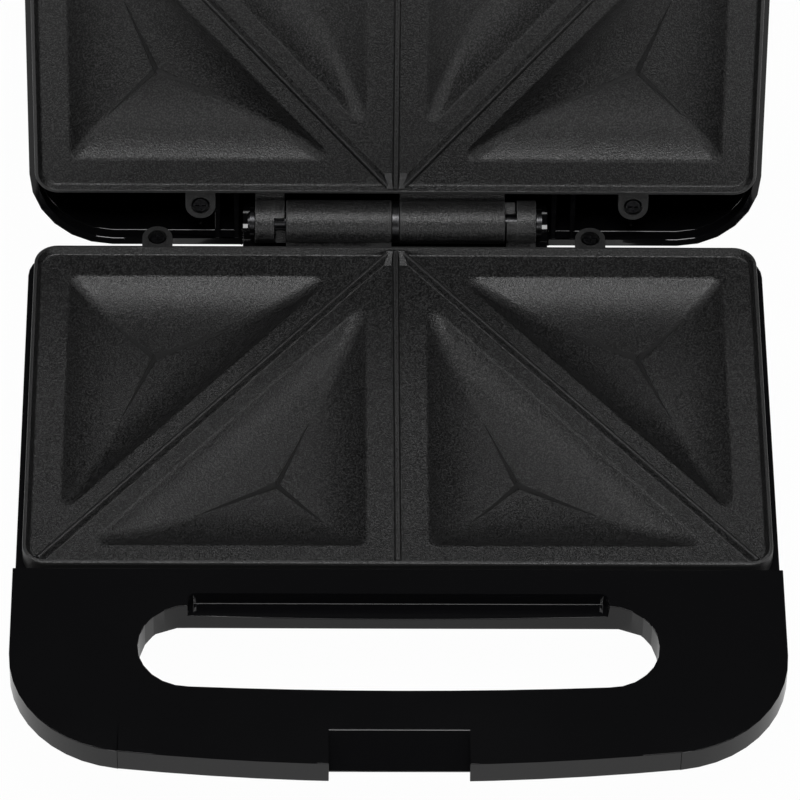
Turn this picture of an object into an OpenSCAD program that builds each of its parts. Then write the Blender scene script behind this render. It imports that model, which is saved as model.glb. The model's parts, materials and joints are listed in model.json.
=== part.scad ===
// Sandwich toaster with a hinged lid and two cast plates that toast four triangles.
// It is shown open, as it stands on a table. Millimetres, +Z up, +X right, handles towards -Y.
// The origin is on the table under the middle of the lower plate.
//
// Both halves are drawn in one half frame: z = 0 is the joint plane where the plates meet, the
// cooking face looks up, and the shell hangs below. The lid's half is then turned over and opened.

/* [Stance] */
// Height of the joint plane above the table
seam_z = 42; // [41:1:48]
// Height of the rubber feet
foot_h = 5; // [4:0.5:6]
// Radius of a rubber foot
foot_r = 6.5; // [5:0.5:7.5]
// Angle of the lid when it lies back on its stop
open_angle = 105; // [95:1:106]

/* [Plates] */
// Width of a plate over its rim
plate_w = 219; // [205:1:235]
// Depth of a plate over its rim
plate_d = 126; // [120:1:136]
// Corner radius of a plate
plate_r = 7; // [5:0.5:9]
// Gap between the two rims when the lid is shut
rim_gap = 0.4; // [0.3:0.1:1]
// Height of the rim above the flat land inside it
rim_rise = 2.1; // [1.6:0.1:2.6]
// Width of the rim along its top
rim_w = 1.1; // [0.8:0.1:1.6]
// Height of the rim's outer wall, down to the ledge that carries it
skirt_h = 6; // [5.6:0.2:7]
// Wall thickness of the casting
cast_t = 2.5; // [2:0.1:3]
// Height of the ridges that part the sandwiches
ridge_h = 1.7; // [1:0.1:2]
// Width of a diagonal ridge at its foot
ridge_w = 2.8; // [2:0.1:3.4]
// Width of the middle ridge at its foot
mid_ridge_w = 1.9; // [1.4:0.1:2.6]

/* [Pockets] */
// Depth of a pocket at its middle
pocket_deep = 6.4; // [5.4:0.2:8]
// How soon a pocket's wall levels out on its way to the middle
pocket_curve = 3.5; // [2.5:0.1:5]
// Land between the plate's edge and a pocket
pocket_edge = 10.8; // [9:0.2:13]
// Land between the plate's middle line and a pocket
pocket_mid = 9.2; // [8:0.2:11]
// Land between a diagonal ridge and a pocket
pocket_diag = 7; // [6:0.2:9]
// Corner radius of a pocket's mouth
pocket_r = 3; // [2:0.5:4]
// Height of the star over the floor of a pocket
star_h = 2.2; // [1.5:0.1:3]
// Half width of the star at its middle
star_waist = 1.7; // [1.2:0.1:2.4]

/* [Hinge] */
// Distance of the hinge axis behind the plate's edge
hinge_back = 9.8; // [9.4:0.1:12]
// Radius of the hinge barrels
barrel_r = 6.65; // [6:0.05:7]
// Radius of the hinge pin
pin_r = 2.5; // [2:0.1:3]
// Length of a long barrel
barrel_long = 32.2; // [26:0.1:38]
// Length of a short barrel
barrel_short = 9; // [7:0.1:12]
// Half of the gap between the two long barrels
barrel_mid = 1.15; // [0.8:0.05:2]
// Length of the lug that runs in the stop
lug_len = 3.2; // [2:0.1:4]
// Angle that the lug spans
lug_angle = 40; // [30:1:50]

/* [Ears] */
// Radius of a fixing ear
ear_r = 4.6; // [4.2:0.1:5.2]
// Distance of the ear's hole behind the plate's edge
ear_back = 6.15; // [5.6:0.05:7]
// Place of the ear on the side of the long barrel
ear_x_long = 72.5; // [66:0.5:84]
// Place of the ear on the side of the short barrel
ear_x_short = 59.4; // [57:0.1:64]
// Depth of the ear's top below the rim
ear_drop = 3; // [2.4:0.1:3.4]
// Radius of the shaft of the plate screws
screw_r = 1.5; // [1.2:0.1:1.8]
// Radius of the head of the plate screws
screw_head_r = 2.7; // [2.4:0.1:3]

/* [Shells] */
// How far a shell stands out round its plate
shell_margin = 2; // [1.5:0.1:3]
// Wall thickness of the shells
wall_t = 2.4; // [2:0.1:3]
// Width of the ledge inside the shell's edge
ledge_w = 5; // [4.4:0.1:6]
// Radius of the rounded edge round the underside and the top
edge_r = 12; // [8:0.5:13]
// Height of the lid's shell above the joint plane
lid_h = 34; // [33.5:0.5:42]
// How far the lid's shell reaches behind the hinge axis
lid_back = 12.3; // [11.5:0.1:14]
// Corner radius at the back of the lid's shell
lid_back_r = 25; // [18:1:32]
// Half width of the hinge block at the back of the base
block_hw = 46.5; // [46:0.5:50]
// How far the hinge block reaches behind the hinge axis
block_back = 11; // [9.5:0.1:11.4]

/* [Handles] */
// Gap between the plate's edge and the handle
handle_gap = 1.4; // [1:0.1:2]
// Reach of the handle in front of the plate's edge
handle_reach = 73.9; // [70:0.1:82]
// How far the handle stands out beside the shell
handle_side = 0.5; // [0.2:0.1:2]
// Depth of the handle's face below the joint plane
handle_drop = 1; // [0.6:0.1:1.5]
// Thickness of the handle at its front edge
handle_t = 8; // [7:0.1:9]
// Corner radius of the handle
handle_r = 36; // [28:1:44]
// How far the front edge bows out between the corners
handle_bow = 4.5; // [2:0.1:7]
// Distance of the finger slot from the plate's edge
slot_back = 15.4; // [14:0.1:17]
// Width of the finger slot, front to back
slot_d = 30; // [27:0.5:32]
// Length of the finger slot
slot_len = 150.3; // [120:0.1:160]
// How far the slot's long edges bow to the front
slot_bow = 1.4; // [0.5:0.1:2.5]
// Length of the step along the slot's back edge
step_len = 122; // [100:1:130]
// Width of that step
step_w = 4.6; // [3:0.1:5.5]
// Depth of that step
step_h = 4.6; // [3:0.1:5]
// Width of the notch for the latch in the front edge
notch_w = 40.1; // [34:0.1:46]
// Distance from the front edge back to the top of the notch's ramp
notch_deep = 12.7; // [11.2:0.1:14]
// Distance from the front edge back to the foot of the ramp
notch_set = 3.9; // [3.4:0.1:5]

/* [Latch] */
// Distance of the latch pivot behind the front edge of the handle
pivot_set = 6.5; // [6:0.1:7]
// Height of the latch pivot over the joint plane
pivot_h = 5; // [4.8:0.1:5.4]
// Radius of the latch pivot pin
pivot_r = 1.5; // [1.2:0.1:1.7]
// Radius of the latch's own barrel
latch_barrel_r = 3.2; // [2.8:0.1:3.4]
// Thickness of the latch's arm
latch_t = 2.6; // [2.2:0.1:3]
// Angle by which the latch stands open at rest
latch_rest = 50; // [46:1:54]

/* [Heating] */
// Radius of the tubular heaters
tube_r = 3.3; // [2.8:0.1:4]
// Half width of the heater's loop
tube_hw = 62; // [50:1:70]
// Bend radius of the heater
tube_bend = 16; // [12:1:24]
// Distance of the heater's front run from the plate's front edge
tube_front = 34; // [28:1:40]
// Sheet thickness of the reflector trays
tray_t = 0.6; // [0.4:0.1:1]
// Radius of the cord's hole in its bush
cord_r = 3.2; // [2.8:0.1:4]
// Radius of a lamp lens
lens_r = 4.5; // [3.5:0.1:5.5]
// Half of the distance between the two lamps
lamp_gap = 11; // [9:0.5:16]

/* [Hidden] */
// Clearances
run_gap = 0.05;
fit_gap = 0.15;
free_gap = 0.3;
swing_gap = 0.8;
stop_gap = 3.4;
lug_play = 5;
eps = 0.01;
over = 1;

// Heights in the half frame
rim_z = -rim_gap / 2;
land_z = rim_z - rim_rise;
ledge_z = rim_z - skirt_h;
web_top_z = rim_z - 2.6;
ear_z = rim_z - ear_drop;
bowl_z = land_z - pocket_deep - cast_t;
tube_z = bowl_z - tube_r;
tray_z = tube_z - tube_r - free_gap;
base_deep = seam_z - foot_h;

// Places along Y
half_w = plate_w / 2;
half_d = plate_d / 2;
hinge_y = half_d + hinge_back;
ear_y = half_d + ear_back;
base_back_y = half_d + shell_margin;
lid_back_y = hinge_y + lid_back;
shell_hw = half_w + shell_margin;
shell_front = -half_d - slot_back + 4.6;
handle_hw = shell_hw + handle_side;
inner_edge = half_w - ledge_w + shell_margin;
draft = 1.2;
vent = [2.4, 34, 16];

// Diagonal ridge of the right half, from the middle of the back to the front corner
ridge_a = [2.7, half_d - 2.6];
ridge_b = [half_w - 4.7, -half_d + 2.5];
ridge_u = (ridge_b - ridge_a) / norm(ridge_b - ridge_a);
ridge_n = [-ridge_u.y, ridge_u.x];
ridge_top = 0.5;

// Middle of a pocket as shares of its corners, how far the star's arms reach, steps of its wall
pocket_shares = [0.38, 0.326, 0.294];
star_reach = [0.56, 0.43, 0.365];
pocket_steps = [0, 0.08, 0.18, 0.3, 0.44, 0.64, 0.97];

// Screws and small parts
post_r = 4.5;
post_places = [[0, -half_d + 21], [0, half_d - 45]];
post_screw_r = 1.5;
ear_screw_len = 11;
tray_screw_len = 8;
stat_screw_len = 9;
pad_y = -half_d + 52;
stat_r = 7;
stat_h = 6;
ear_recess = 1.3;
boss_r = ear_r - 0.2;
boss_h = 22;
tongue = [12, 2.8, 1.8];
tongue_x = 60;
foot_places = [[half_w - 20, -half_d + 12], [block_hw - 10, hinge_y + block_back - 10]];
foot_stem = [2.4, 4.5];
bush_seat = 2 * cord_r + 3.6;
bush_flange = [bush_seat + 4, 2.5];
bush_lip = 3;
cord_z = -base_deep + wall_t + bush_seat / 2 + 1.5;
block_size = [26, 15, 9];
block_y = half_d - 29;
block_hole_x = [5.5, 20.5];
lens_flange = 1.2;
lamp_y = -half_d + 26;
lamp_r = 2;
lamp_len = 5.5;
holder_rim = 2.4;
holder_cup = 4.2;
holder_h = holder_cup + 1.4;
lens_stem = 4;
stat_top = land_z - cast_t - 4;
fuse_y = half_d - 30;
pin_end = barrel_mid + barrel_long + 0.4 + barrel_short + 0.2;

// Reflector tray and the heater's ends behind it
tray_hw = half_w - pocket_edge - 1.8;
tray_front = -half_d + pocket_edge - 0.2;
tray_back = half_d - pocket_edge - 1.8;
end_front = tray_back + tray_t + free_gap;
end_len = 6;
end_cup = 2;
heater_back = end_front + end_cup;
pivot_t = handle_reach - pivot_set;
notch_t = handle_reach - notch_deep;
notch_foot = handle_reach - notch_set;
hook_r = norm([notch_foot - pivot_t, handle_drop + handle_t + pivot_h]) + 0.4;
hook_t = 2.6;

shell_black = [0.02, 0.02, 0.022];
coat_grey = [0.16, 0.16, 0.165];
steel = [0.62, 0.62, 0.64];
zinc = [0.5, 0.5, 0.48];
ceramic = [0.9, 0.88, 0.82];
rubber_black = [0.06, 0.06, 0.06];

// Points of an arc, both ends included
function arc(c, r, a0, a1, n) = [for (i = [0:n]) c + r * [cos(a0 + (a1 - a0) * i / n),
    sin(a0 + (a1 - a0) * i / n)]];

// Outline of a plan with straight sides and one radius at the front, one at the back
function plan(hw, front, back, rf, rb, n = 6) = concat(
    arc([hw - rb, back - rb], rb, 0, 90, n), arc([rb - hw, back - rb], rb, 90, 180, n),
    arc([rf - hw, front + rf], rf, 180, 270, n), arc([hw - rf, front + rf], rf, 270, 360, n));

function lift(pts, z) = [for (p = pts) [p.x, p.y, z]];
function unit(v) = v / norm(v);

// Solid between rings of equal count, each seen counterclockwise from above, lowest first
module loft(rings) {
    n = len(rings[0]);
    top = len(rings) - 1;
    polyhedron(points = [for (r = rings) for (p = r) p], faces = concat(
        [[for (i = [0:n - 1]) i]],
        [for (k = [0:top - 1]) for (i = [0:n - 1]) [k * n + i, (k + 1) * n + i, (k + 1) * n + (i + 1) % n]],
        [for (k = [0:top - 1]) for (i = [0:n - 1]) [k * n + i, (k + 1) * n + (i + 1) % n, k * n + (i + 1) % n]],
        [[for (i = [n - 1:-1:0]) top * n + i]]));
}

// Profile in the Y-Z plane drawn out along X
module bar_x(x0, x1) {
    translate([x0, 0, 0]) rotate([90, 0, 90]) linear_extrude(x1 - x0) children();
}

module rod_x(x0, x1, r) {
    translate([x0, 0, 0]) rotate([0, 90, 0]) cylinder(h = x1 - x0, r = r, $fn = 64);
}

module post(x, y, z0, z1, r) {
    translate([x, y, z0]) cylinder(h = z1 - z0, r = r, $fn = 48);
}

module both_sides() {
    children();
    mirror([1, 0, 0]) children();
}

// Stand the base's half frame on the table
module on_table() {
    translate([0, 0, seam_z]) children();
}

// Turn the lid's half frame over, open it and lift it to the hinge
module on_lid() {
    translate([0, hinge_y, seam_z]) rotate([-open_angle, 0, 0]) rotate([0, 180, 0])
        translate([0, -hinge_y, 0]) children();
}

// Wedge about the hinge axis, with angles from straight up towards the front
module wedge(a0, a1) {
    reach = 3 * barrel_r;
    polygon(concat([[0, 0]], [for (i = [0:6]) let (a = a0 + (a1 - a0) * i / 6)
        [-reach * sin(a), reach * cos(a)]]));
}

// Corners of a pocket in the right half, from two straight edges and the diagonal one
function on_ridge_x(y, off) = let (p = ridge_a + ridge_n * off)
    p.x + ridge_u.x * (y - p.y) / ridge_u.y;
function on_ridge_y(x, off) = let (p = ridge_a + ridge_n * off)
    p.y + ridge_u.y * (x - p.x) / ridge_u.x;
function outer_pocket() = let (x = half_w - pocket_edge, y = half_d - pocket_edge)
    [[x, y], [on_ridge_x(y, pocket_diag), y], [x, on_ridge_y(x, pocket_diag)]];
function inner_pocket() = let (x = pocket_mid, y = -half_d + pocket_edge - 2)
    [[x, y], [on_ridge_x(y, -pocket_diag), y], [x, on_ridge_y(x, -pocket_diag)]];

// Middle of a pocket, where its star stands, and its distance from the diagonal edge
function middle(t) = pocket_shares * t;
function middle_run(t) = abs(cross(t[2] - t[1], middle(t) - t[1])) / norm(t[2] - t[1]);

// Triangle with rounded corners, counterclockwise
function soft_corner(p, q, r, rad, n) = let (d1 = unit(q - p), d2 = unit(r - q),
    a1 = atan2(-d1.x, d1.y), a2 = atan2(-d2.x, d2.y), turn = (a2 - a1 + 720) % 360,
    c = q + unit(unit(p - q) + unit(r - q)) * rad / sin((180 - turn) / 2))
    arc(c, rad, a1, a1 + turn, n);
function soft_triangle(t, rad, n = 4) = [for (i = [0:2])
    each soft_corner(t[(i + 2) % 3], t[i], t[(i + 1) % 3], rad, n)];

// Depth of a pocket at a share of the way from its mouth to its middle
function pocket_depth(s) = pocket_deep * (1 - pow(1 - s, pocket_curve));
function shrink(pts, c, s) = [for (p = pts) c + (p - c) * s];

// Space of a pocket, or with a skin the casting round it
module pocket(t, skin) {
    mouth = soft_triangle(t, pocket_r, skin > 0 ? 2 : 4);
    grow = 1 + skin / middle_run(t);
    last = len(pocket_steps) - 1;
    loft(concat(
        [for (k = [last:-1:0]) lift(shrink(mouth, middle(t), grow - pocket_steps[k]),
            land_z - skin - pocket_depth(pocket_steps[k]))],
        skin > 0 ? [] : [lift(mouth, land_z + over)]));
}

// Star that stands on the floor of a pocket, its arms towards the three corners
module star(t) {
    c = middle(t);
    ring = [for (i = [0:2]) let (a = unit(t[i] - c), b = unit(t[(i + 1) % 3] - c))
        each [[c + (t[i] - c) * star_reach[i], pocket_depth(1 - star_reach[i])],
            [c + unit(a + b) * star_waist, pocket_depth(1 - star_waist / middle_run(t))]]];
    floor_ring = [for (p = ring) [p[0].x, p[0].y, land_z - p[1]]];
    loft([[for (p = floor_ring) p - [0, 0, cast_t / 2]], floor_ring,
        [for (p = floor_ring) [c.x + (p.x - c.x) * 0.02, c.y + (p.y - c.y) * 0.02,
            land_z - pocket_deep + star_h]]]);
}

// Ridge of trapezium section between two points of the land
module ridge(a, b, w, top) {
    d = b - a;
    translate([a.x, a.y, land_z]) rotate([0, 0, atan2(d.y, d.x)]) rotate([90, 0, 90])
        linear_extrude(norm(d)) polygon([[-w / 2, 0], [-w / 2, -over], [w / 2, -over], [w / 2, 0],
            [top / 2, ridge_h], [-top / 2, ridge_h]]);
}

// Shallow pan of the plate with its rim and skirt
module pan() {
    edge = 0.5;
    difference() {
        loft([
            lift(plan(half_w, -half_d, half_d, plate_r, plate_r), ledge_z),
            lift(plan(half_w, -half_d, half_d, plate_r, plate_r), rim_z - edge),
            lift(plan(half_w - edge, edge - half_d, half_d - edge, plate_r - edge, plate_r - edge), rim_z)]);
        loft([for (s = [[rim_w + 1, land_z], [rim_w + 0.1, rim_z - 0.3], [rim_w - 0.2, rim_z + 0.2]])
            lift(plan(half_w - s[0], s[0] - half_d, half_d - s[0], plate_r - s[0], plate_r - s[0]), s[1])]);
        translate([0, 0, ledge_z - over]) linear_extrude(land_z - cast_t - ledge_z + over)
            polygon(plan(half_w - ledge_w, ledge_w - half_d, half_d - ledge_w, 3, 3));
    }
}

// Heater with its two legs to the back, or the room for it with a gap
module tube_run(r, back) {
    front = -half_d + tube_front;
    translate([0, 0, tube_z]) {
        both_sides() {
            translate([tube_hw, front + tube_bend, 0]) rotate([-90, 0, 0])
                cylinder(h = back - front - tube_bend, r = r, $fn = 32);
            translate([tube_hw - tube_bend, front + tube_bend, 0]) rotate([0, 0, -90])
                rotate_extrude(angle = 90, $fn = 64) translate([tube_bend, 0]) circle(r = r, $fn = 32);
        }
        translate([0, front, 0]) rod_x(tube_bend - tube_hw, tube_hw - tube_bend, r);
    }
}

// Cast rail that holds the heater, as wide as the tube on each side of its run
module tube_rail() {
    front = -half_d + tube_front;
    w = tube_r + 1.6;
    translate([0, 0, tube_z]) linear_extrude(land_z - cast_t + eps - tube_z) difference() {
        polygon(plan(tube_hw + w, front - w, half_d - 26, tube_bend + w, 1));
        polygon(plan(tube_hw - w, front + w, half_d - 26 + over, tube_bend - w, 1));
    }
}

// Hinge barrels with their webs, the lug on the long one and the stop in the short one
module barrels() {
    long_end = barrel_mid + barrel_long;
    short_start = long_end + 0.4;
    short_end = short_start + barrel_short;
    difference() {
        union() {
            for (s = [[-long_end, -barrel_mid], [short_start, short_end]]) {
                translate([0, hinge_y, 0]) rod_x(s[0], s[1], barrel_r);
                translate([s[0], half_d - over, ledge_z])
                    cube([s[1] - s[0], hinge_back + over, web_top_z - ledge_z]);
            }
            translate([0, hinge_y, 0]) bar_x(-long_end - lug_len, -long_end + eps)
                intersection() {
                    circle(r = barrel_r, $fn = 64);
                    wedge(180 + 4 - lug_angle, 180 + 4);
                }
        }
        translate([0, hinge_y, 0]) {
            rod_x(-long_end - 2 * lug_len, short_end + over, pin_r + run_gap);
            bar_x(short_start - over, short_start + lug_len)
                wedge(-4 - open_angle - stop_gap, lug_angle - 4 + lug_play);
        }
    }
}

function ear_places() = [-ear_x_long, ear_x_short];

// One cast plate; the lid's plate is the same casting turned over
module casting() {
    difference() {
        union() {
            difference() {
                union() {
                    pan();
                    both_sides() {
                        pocket(outer_pocket(), cast_t);
                        pocket(inner_pocket(), cast_t);
                    }
                    tube_rail();
                    for (p = post_places) post(p.x, p.y, tray_z, land_z - cast_t + eps, post_r);
                    post(0, pad_y, stat_top, land_z - cast_t + eps, stat_r - 1);
                }
                both_sides() {
                    pocket(outer_pocket(), 0);
                    pocket(inner_pocket(), 0);
                }
            }
            both_sides() {
                star(outer_pocket());
                star(inner_pocket());
                ridge(ridge_a, ridge_b, ridge_w, ridge_top);
                translate([tongue_x - tongue.x / 2, -half_d - tongue.y, ledge_z])
                    cube([tongue.x, tongue.y + over, tongue.z]);
            }
            ridge([0, -half_d + rim_w + 0.6], [0, half_d - rim_w - 0.6], mid_ridge_w, 2 * ridge_top);
            barrels();
            for (x = ear_places()) {
                post(x, ear_y, ledge_z, ear_z, ear_r);
                translate([x - ear_r, half_d - over, ledge_z]) cube([2 * ear_r, ear_back + over, ear_z - ledge_z]);
            }
        }
        for (x = ear_places()) {
            post(x, ear_y, ledge_z - over, ear_z + over, screw_r + fit_gap);
            post(x, ear_y, ear_z - ear_recess, ear_z + over, screw_head_r + 0.2);
        }
        for (p = post_places) post(p.x, p.y, tray_z - over, tray_z + 8, post_screw_r + run_gap);
        post(0, pad_y, stat_top - over, stat_top + stat_screw_len - stat_h + 0.6, post_screw_r + run_gap);
        tube_run(tube_r + fit_gap, half_d);
    }
}

// Screw that stands on z with its shaft downwards
module screw(head_r, head_h, r, length) {
    translate([0, 0, -length]) cylinder(h = length + eps, r = r, $fn = 32);
    difference() {
        cylinder(h = head_h, r1 = head_r, r2 = head_r - 0.5, $fn = 32);
        for (a = [0, 90]) rotate([0, 0, a]) translate([-head_r * 0.6, -0.35, head_h - 0.7])
            cube([head_r * 1.2, 0.7, over]);
    }
}

module ear_screws() {
    for (x = ear_places()) translate([x, ear_y, ear_z - ear_recess]) screw(screw_head_r, 1.1, screw_r, ear_screw_len);
}

module tray_screws() {
    for (p = post_places) translate([p.x, p.y, tray_z - tray_t]) mirror([0, 0, 1]) screw(3, 1.4, post_screw_r, tray_screw_len);
}

// Ceramic ends of the heater, where the terminals come out
module heater_ends() {
    both_sides() translate([tube_hw, end_front, tube_z]) rotate([-90, 0, 0]) {
        difference() {
            cylinder(h = end_len, r = tube_r + 1.2, $fn = 32);
            translate([0, 0, -over]) cylinder(h = end_cup + over, r = tube_r, $fn = 32);
        }
        translate([0, 0, end_len - eps]) cylinder(h = 2, r = 1.2, $fn = 24);
    }
}

// Sheet tray that closes the heater in under the plate
module tray() {
    top = bowl_z + 2;
    slot_hw = tube_r + 1;
    difference() {
        translate([0, 0, tray_z - tray_t]) linear_extrude(top - tray_z + tray_t)
            polygon(plan(tray_hw + tray_t, tray_front - tray_t, tray_back + tray_t, 5, 5));
        translate([0, 0, tray_z]) linear_extrude(top - tray_z + over)
            polygon(plan(tray_hw, tray_front, tray_back, 5, 5));
        for (p = post_places) post(p.x, p.y, tray_z - 2 * over, tray_z + over, post_screw_r + fit_gap);
        both_sides() translate([tube_hw - slot_hw, tray_back - over, tray_z + eps])
            cube([2 * slot_hw, tray_t + 2 * over, top - tray_z + over]);
    }
}

// Ring of a shell's outside at one height, drawn in by an inset
function shell_ring(inset, z, back, back_r) = lift(plan(shell_hw - inset, shell_front + inset,
    back - inset, 12, max(back_r - inset, 2)), z);

// Rounded tub; skin is how far it lies inside the shell's outside
module tub(deep, back, back_r, skin, top_z) {
    n = 4;
    loft(concat([for (i = [0:n]) let (a = 90 * i / n, r = edge_r - skin)
        shell_ring(draft + skin + r * (1 - sin(a)), -deep + skin + r * (1 - cos(a)), back, back_r)],
        [shell_ring(skin, top_z, back, back_r)]));
}

// Place in front of the plate's edge
function front(t) = -half_d - t;

// Outline of the handle, with a corner arc that runs smoothly into the bowed front
module handle_outline() {
    cx = handle_hw - handle_r;
    big_r = (cx * cx + pow(handle_r + handle_bow, 2) - handle_r * handle_r) / (2 * handle_bow);
    cy = front(handle_reach - handle_r - handle_bow);
    turn = asin(cx / (big_r - handle_r));
    side = concat([[-handle_hw, front(handle_gap)]],
        arc([-cx, cy], handle_r, 180, 270 - turn, 10),
        arc([0, front(handle_reach) + big_r], big_r, 270 - turn, 270, 6));
    polygon(concat(side, [for (i = [len(side) - 2:-1:0]) [-side[i].x, side[i].y]]));
}

// Outline of the finger slot, round at its ends and bowed to the front
module slot_outline() {
    r = slot_d / 2;
    cx = slot_len / 2 - r;
    cy = front(slot_back + r);
    n = 8;
    bow = [for (i = [1:n - 1]) let (x = cx * (2 * i / n - 1)) [x, slot_bow * (1 - pow(x / cx, 2))]];
    polygon(concat(arc([cx, cy], r, -90, 90, 12),
        [for (i = [len(bow) - 1:-1:0]) [bow[i].x, cy + r - bow[i].y]],
        arc([-cx, cy], r, 90, 270, 12),
        [for (p = bow) [p.x, cy - r - p.y]]));
}

// Loop handle in front of a shell
module handle() {
    top = -handle_drop;
    deep = ledge_z - wall_t;
    difference() {
        intersection() {
            translate([0, 0, -seam_z]) linear_extrude(seam_z) handle_outline();
            bar_x(-handle_hw - over, handle_hw + over) polygon([[front(handle_gap), top],
                [front(handle_reach + over), top], [front(handle_reach + over), top - handle_t],
                [front(slot_back + slot_d), top - handle_t - 0.4],
                [front(slot_back + 4), top - handle_t - 2.4], [front(slot_back), top - handle_t - 4],
                [front(slot_back - 4), top - handle_t - 7], [shell_front + 1.2, top - handle_t - 12],
                [shell_front + 1.2, deep], [front(handle_gap), deep]]);
        }
        translate([0, 0, -seam_z]) linear_extrude(seam_z + over) slot_outline();
        translate([0, 0, top - step_h]) linear_extrude(step_h + over)
            polygon(plan(step_len / 2, front(slot_back + 6), front(slot_back - step_w), 1, 2.4, 4));
        both_sides() translate([tongue_x - tongue.x / 2 - free_gap, front(tongue.y + free_gap), ledge_z])
            cube([tongue.x + 2 * free_gap, tongue.y, tongue.z + free_gap]);
    }
}

// Column under an ear, joined to the wall or the ledge in front of it
module ear_boss(x) {
    root = 1.4;
    post(x, ear_y, ledge_z - boss_h, ledge_z, boss_r);
    translate([x - boss_r, half_d - root, ledge_z - boss_h]) cube([2 * boss_r, ear_back + root, boss_h]);
}

// Shell with its ledge, its handle and the bosses under the plate's ears
module shell(deep, back, back_r) {
    difference() {
        union() {
            difference() {
                tub(deep, back, back_r, 0, ledge_z);
                tub(deep, back, back_r, wall_t, ledge_z - wall_t);
                translate([0, 0, ledge_z - 2 * wall_t]) linear_extrude(seam_z)
                    polygon(plan(inner_edge, -half_d + ledge_w - shell_margin,
                        half_d - ledge_w + shell_margin, 6, 6));
            }
            handle();
            for (x = ear_places()) ear_boss(x);
        }
        for (x = ear_places()) post(x, ear_y, ledge_z - 12, ledge_z + over, screw_r + run_gap);
    }
}

// Hinge block behind the base, with a saddle under the barrels
module hinge_block_profile(skin) {
    y0 = base_back_y - wall_t;
    y1 = base_back_y - draft - edge_r;
    back = hinge_y + block_back - skin;
    slope = (y0 - y1) / edge_r;
    saddle_z = -barrel_r - 1.6 - skin;
    difference() {
        polygon([[y1 + slope * skin, -base_deep + skin], [back, -base_deep + skin],
            [back, -3 - skin], [hinge_y, -3 - skin], [hinge_y, saddle_z], [y0, saddle_z],
            [y0, -base_deep + edge_r]]);
        translate([hinge_y, 0]) circle(r = barrel_r + 1 + skin, $fn = 64);
    }
}

module foot_posts(z0, z1, r) {
    both_sides() for (p = foot_places) post(p.x, p.y, z0, z1, r);
}

module base_shell() {
    color(shell_black) on_table() difference() {
        union() {
            shell(base_deep, base_back_y, plate_r + shell_margin);
            difference() {
                bar_x(-block_hw, block_hw) hinge_block_profile(0);
                bar_x(-block_hw + wall_t, block_hw - wall_t) hinge_block_profile(wall_t);
            }
            foot_posts(-base_deep, -base_deep + foot_stem.y + 2.5, foot_stem[0] + 2);
        }
        translate([-block_hw + 2 * wall_t, base_back_y - edge_r, -base_deep + 7])
            cube([2 * block_hw - 4 * wall_t, edge_r + wall_t, base_deep - barrel_r - 15]);
        translate([-bush_seat / 2, hinge_y + block_back - wall_t - over, cord_z - bush_seat / 2])
            cube([bush_seat, wall_t + 2 * over, bush_seat]);
        foot_posts(-base_deep - over, -base_deep + foot_stem.y + 0.5, foot_stem[0] + run_gap);
        for (x = [-3:3]) translate([x * vent.z - vent.x / 2, -vent.y / 2, -base_deep - over])
            cube([vent.x, vent.y, wall_t + 2 * over]);
        notch_ramp();
    }
}

// Room for the latch in the base's handle, with a ramp for the fingers
module notch_ramp() {
    bar_x(-notch_w / 2, notch_w / 2) polygon([[front(notch_t), -handle_drop + eps],
        [front(notch_foot), -handle_drop - handle_t], [front(notch_foot), -handle_drop - handle_t - 3],
        [front(handle_reach + over), -handle_drop - handle_t - 3], [front(handle_reach + over), 1],
        [front(notch_t), 1]]);
}

module lid_shell() {
    cut_hw = block_hw + swing_gap;
    rib_y = half_d + shell_margin;
    color(shell_black) on_lid() difference() {
        union() {
            difference() {
                shell(lid_h, lid_back_y, lid_back_r);
                difference() {
                    translate([0, 0, ledge_z - 2 * wall_t]) linear_extrude(seam_z) difference() {
                        polygon(plan(shell_hw - wall_t, 0, lid_back_y - wall_t, 1, lid_back_r - wall_t));
                        translate([-half_w, -over]) square([plate_w, half_d + over]);
                    }
                    for (x = ear_places()) ear_boss(x);
                }
            }
            both_sides() for (x = [cut_hw + wall_t / 2, cut_hw + wall_t + 4.6])
                translate([x - 0.8, rib_y, -lid_h + wall_t - eps])
                    cube([1.6, lid_back_y - wall_t - rib_y + eps, lid_h + ledge_z - wall_t - 0.4]);
            for (x = ear_places()) post(x, ear_y, -lid_h + wall_t - eps, ledge_z - boss_h + 1, boss_r);
        }
        bar_x(-cut_hw, cut_hw) translate([lid_back_y - 2 * wall_t, -block_back - 5.5])
            square([3 * wall_t, seam_z]);
        bar_x(-notch_w / 2, notch_w / 2) translate([front(handle_reach + over), -handle_drop - handle_t - 4])
            square([handle_reach + over - notch_t, handle_t + 5]);
        translate([0, front(pivot_t), -pivot_h]) rod_x(-notch_w / 2 - 3, notch_w / 2 + 3, pivot_r + run_gap);
        both_sides() post(lamp_gap, lamp_y, -lid_h - over, -lid_h + wall_t + over, lens_r + fit_gap);
    }
}

module lower_plate() {
    color(coat_grey) on_table() casting();
}

module upper_plate() {
    color(coat_grey) on_lid() casting();
}

module lower_heater() {
    color(steel) on_table() tube_run(tube_r, heater_back);
}

module upper_heater() {
    color(steel) on_lid() tube_run(tube_r, heater_back);
}

module lower_heater_ends() {
    color(ceramic) on_table() heater_ends();
}

module upper_heater_ends() {
    color(ceramic) on_lid() heater_ends();
}

module lower_reflector() {
    color(steel) on_table() tray();
}

module upper_reflector() {
    color(steel) on_lid() tray();
}

module lower_reflector_screws() {
    color(zinc) on_table() tray_screws();
}

module upper_reflector_screws() {
    color(zinc) on_lid() tray_screws();
}

module lower_plate_screws() {
    color(rubber_black) on_table() ear_screws();
}

module upper_plate_screws() {
    color(rubber_black) on_lid() ear_screws();
}

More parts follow.
